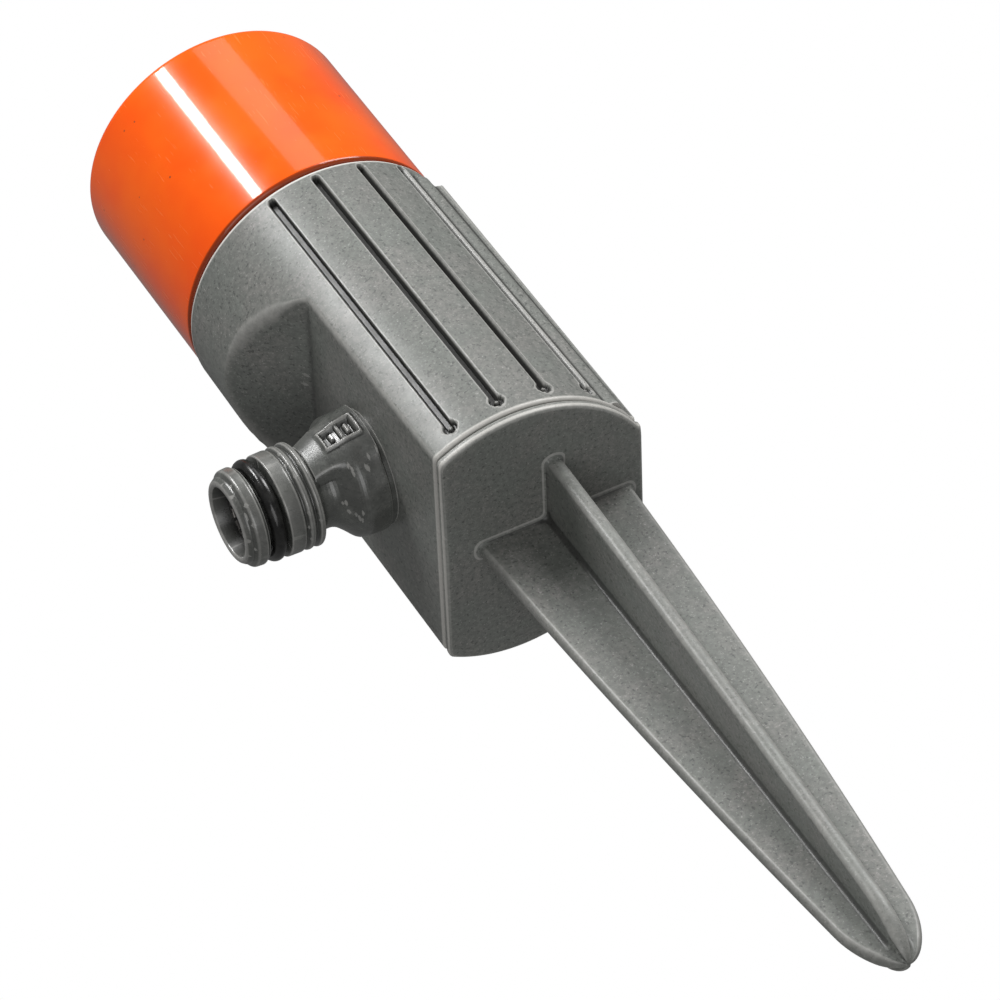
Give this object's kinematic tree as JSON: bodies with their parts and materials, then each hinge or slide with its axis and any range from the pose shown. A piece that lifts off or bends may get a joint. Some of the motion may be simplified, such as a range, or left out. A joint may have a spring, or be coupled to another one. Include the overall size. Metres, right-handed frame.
{
  "type": "sprinkler",
  "caption": "Turbine-driven garden sprinkler: a grey body with a side hose nipple and a cross-section ground spike, under a plain orange cylindrical head that turns.",
  "frame": {"origin": "on the axis that the head turns about, in the plane of the body's flat end face, where the spike begins", "axes": "+Z from the spike towards the head along the head's axis, -X along the hose nipple, -Y out of the grooved arched front"},
  "size_m": [0.0597, 0.0476, 0.2031],
  "materials": {
    "grey_plastic": "satin grey moulded plastic with a fine speckled grain",
    "orange_plastic": "smooth glossy orange plastic",
    "black_rubber": "lightly greased black rubber",
    "white_plastic": "natural white moulded plastic",
    "black_plastic": "black moulded plastic",
    "steel": "plain stainless steel",
    "strainer_steel": "fine woven stainless steel mesh"
  },
  "bodies": {
    "housing": {"body_shell": "grey_plastic", "ground_spike": "grey_plastic", "hose_nipple": "grey_plastic", "nipple_o_ring": "black_rubber", "nipple_gasket": "black_rubber", "inlet_strainer": "strainer_steel", "stator_ring": "white_plastic", "foot_bush": "steel", "gearcase": "black_plastic", "gearcase_cover": "black_plastic", "shaft_seal": "black_rubber", "lay_pin": "steel", "bearing_plate": "grey_plastic", "plate_seal": "black_rubber", "plate_clip": "steel", "thrust_washer": "white_plastic", "riser_lip_seal": "black_rubber", "lower_bush": "white_plastic", "upper_bush": "white_plastic"},
    "turbine": {"turbine_wheel": "white_plastic", "turbine_shaft": "steel", "turbine_pinion": "white_plastic"},
    "lay_gear_1": {"gear_1": "white_plastic"},
    "centre_gear": {"gear_2": "white_plastic"},
    "lay_gear_3": {"gear_3": "white_plastic"},
    "head": {"output_gear": "white_plastic", "riser_tube": "white_plastic", "riser_clip": "steel", "head_shell": "orange_plastic", "nozzle_body": "black_plastic", "riser_key_pin": "steel", "nozzle_seal": "black_rubber", "nozzle_insert": "black_plastic", "head_screw": "steel", "top_plug": "orange_plastic"},
    "flow_adjuster": {"flow_screw": "steel"}
  },
  "joints": [
    {"name": "head_spin", "type": "hinge", "parent": "housing", "child": "head", "pos_m": [0, 0, 0], "axis": [0, 0, 1], "continuous": true},
    {"name": "gear_3_spin", "type": "hinge", "parent": "housing", "child": "lay_gear_3", "pos_m": [0.00905, 0, 0], "axis": [0, 0, 1], "continuous": true},
    {"name": "gear_2_spin", "type": "hinge", "parent": "housing", "child": "centre_gear", "pos_m": [0, 0, 0], "axis": [0, 0, 1], "continuous": true},
    {"name": "gear_1_spin", "type": "hinge", "parent": "housing", "child": "lay_gear_1", "pos_m": [0.00905, 0, 0], "axis": [0, 0, 1], "continuous": true},
    {"name": "turbine_spin", "type": "hinge", "parent": "housing", "child": "turbine", "pos_m": [0, 0, 0], "axis": [0, 0, 1], "continuous": true},
    {"name": "flow_screw_travel", "type": "slide", "parent": "head", "child": "flow_adjuster", "axis": [0, 0, -1], "range_m": [0, 0.0016]}
  ],
  "couplings": [
    {"joint": "gear_3_spin", "follows": "head_spin", "ratio": -3.1111},
    {"joint": "gear_2_spin", "follows": "head_spin", "ratio": 9.679},
    {"joint": "gear_1_spin", "follows": "head_spin", "ratio": -30.112},
    {"joint": "turbine_spin", "follows": "head_spin", "ratio": 93.683}
  ]
}
